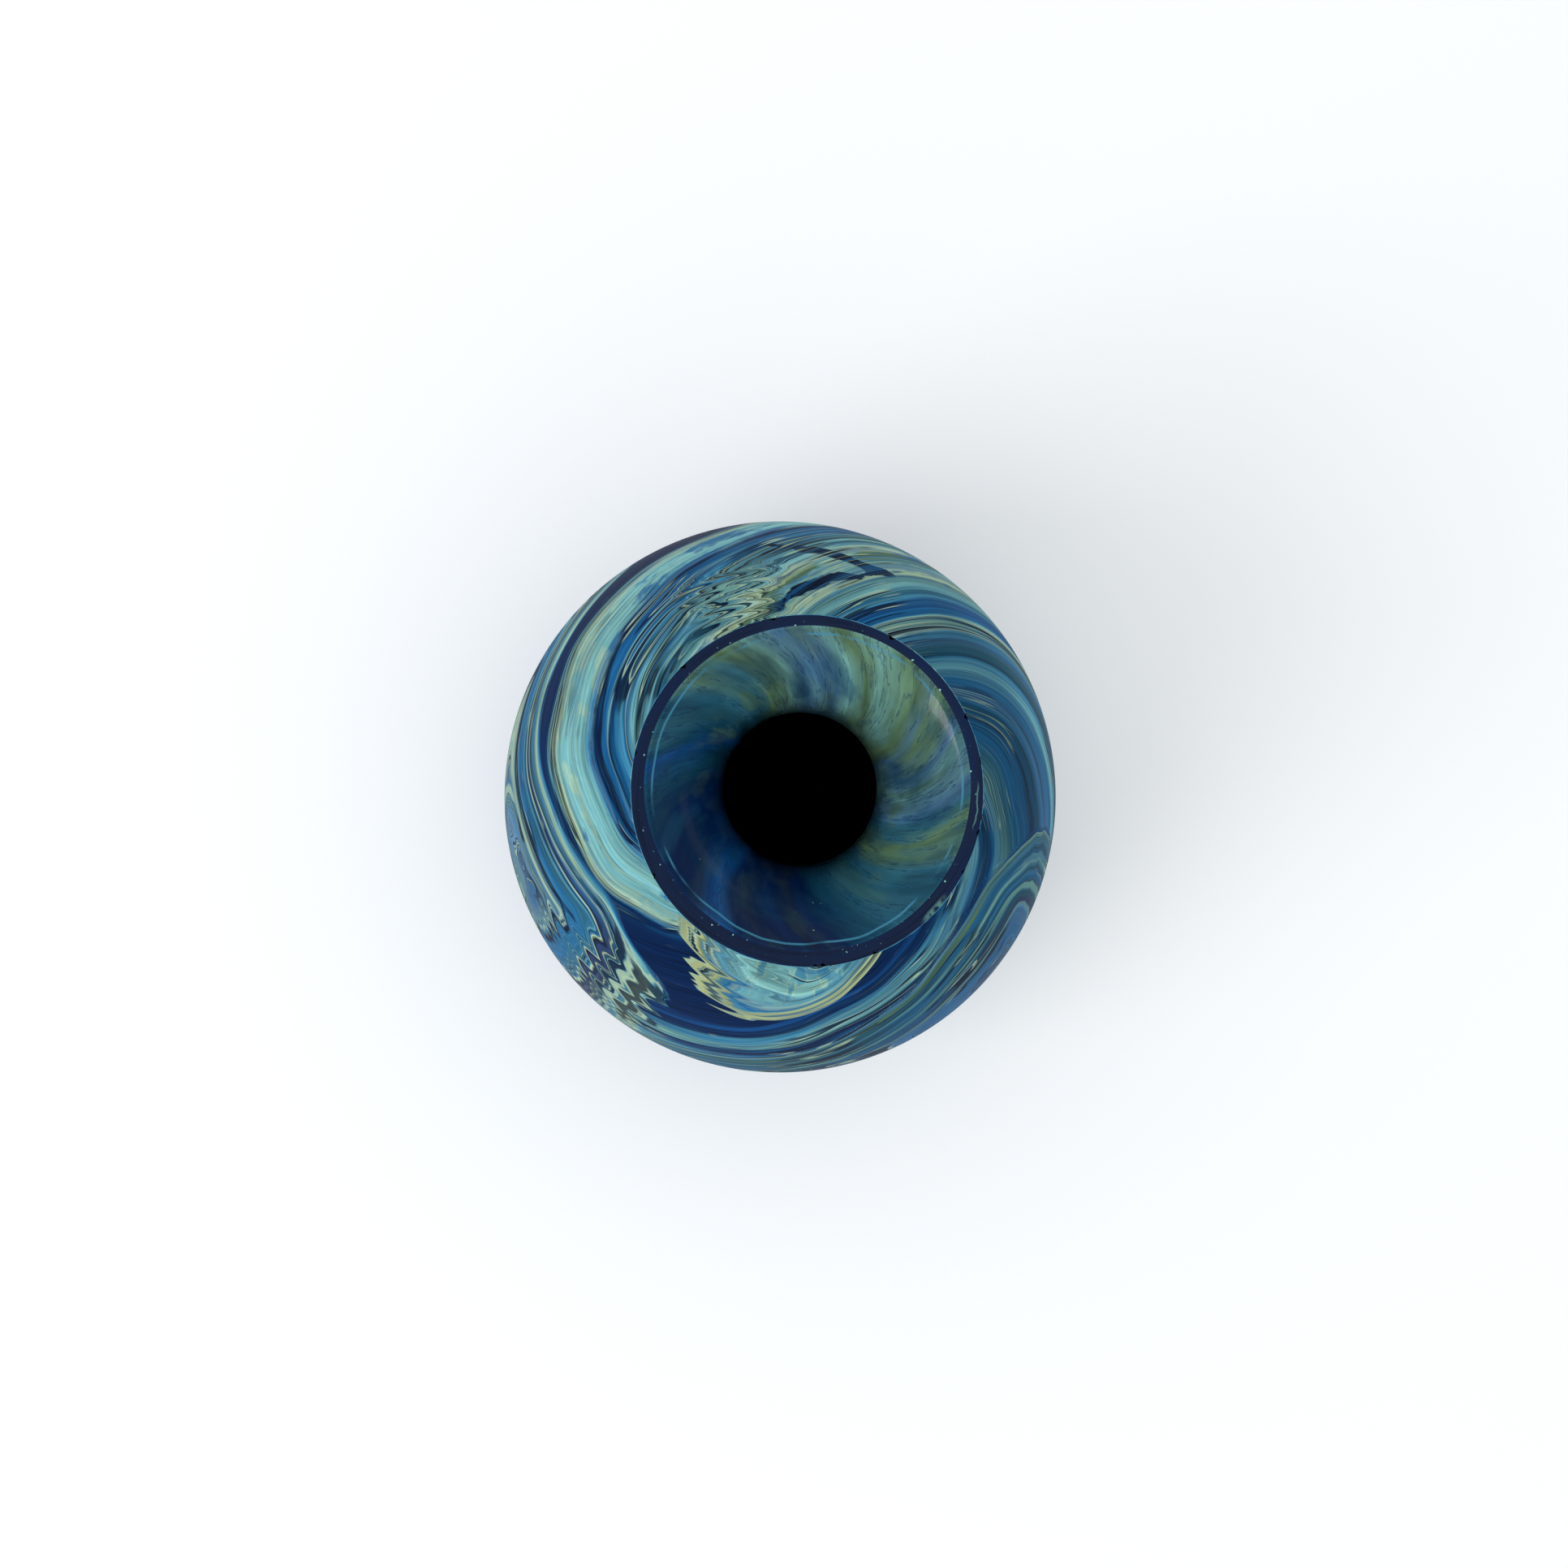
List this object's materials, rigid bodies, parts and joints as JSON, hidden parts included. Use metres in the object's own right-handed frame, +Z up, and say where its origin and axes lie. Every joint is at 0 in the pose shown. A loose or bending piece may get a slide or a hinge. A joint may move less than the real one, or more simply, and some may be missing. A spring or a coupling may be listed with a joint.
{
  "type": "vase",
  "caption": "Round-bellied art glass vase with a narrow throat and a flared mouth with a flat ground rim, in swirled blue, teal and cream glass over a dark core.",
  "frame": {"origin": "on the table under the vase's vertical axis, in the plane of the foot ring's ground face", "axes": "+Z up along the vase's axis of revolution; +X to the right and +Y away as the vase is seen from above"},
  "size_m": [0.13, 0.13, 0.165],
  "materials": {
    "marbled_casing": "satin",
    "core_glass": "satin",
    "marbled_lining": "gloss",
    "foot_glass": "satin",
    "ground_glass": "matte"
  },
  "bodies": {
    "root": {"outer_casing": "marbled_casing", "core_wall": "core_glass", "inner_lining": "marbled_lining", "foot_ring": "foot_glass", "pontil_seal": "ground_glass"}
  },
  "joints": []
}
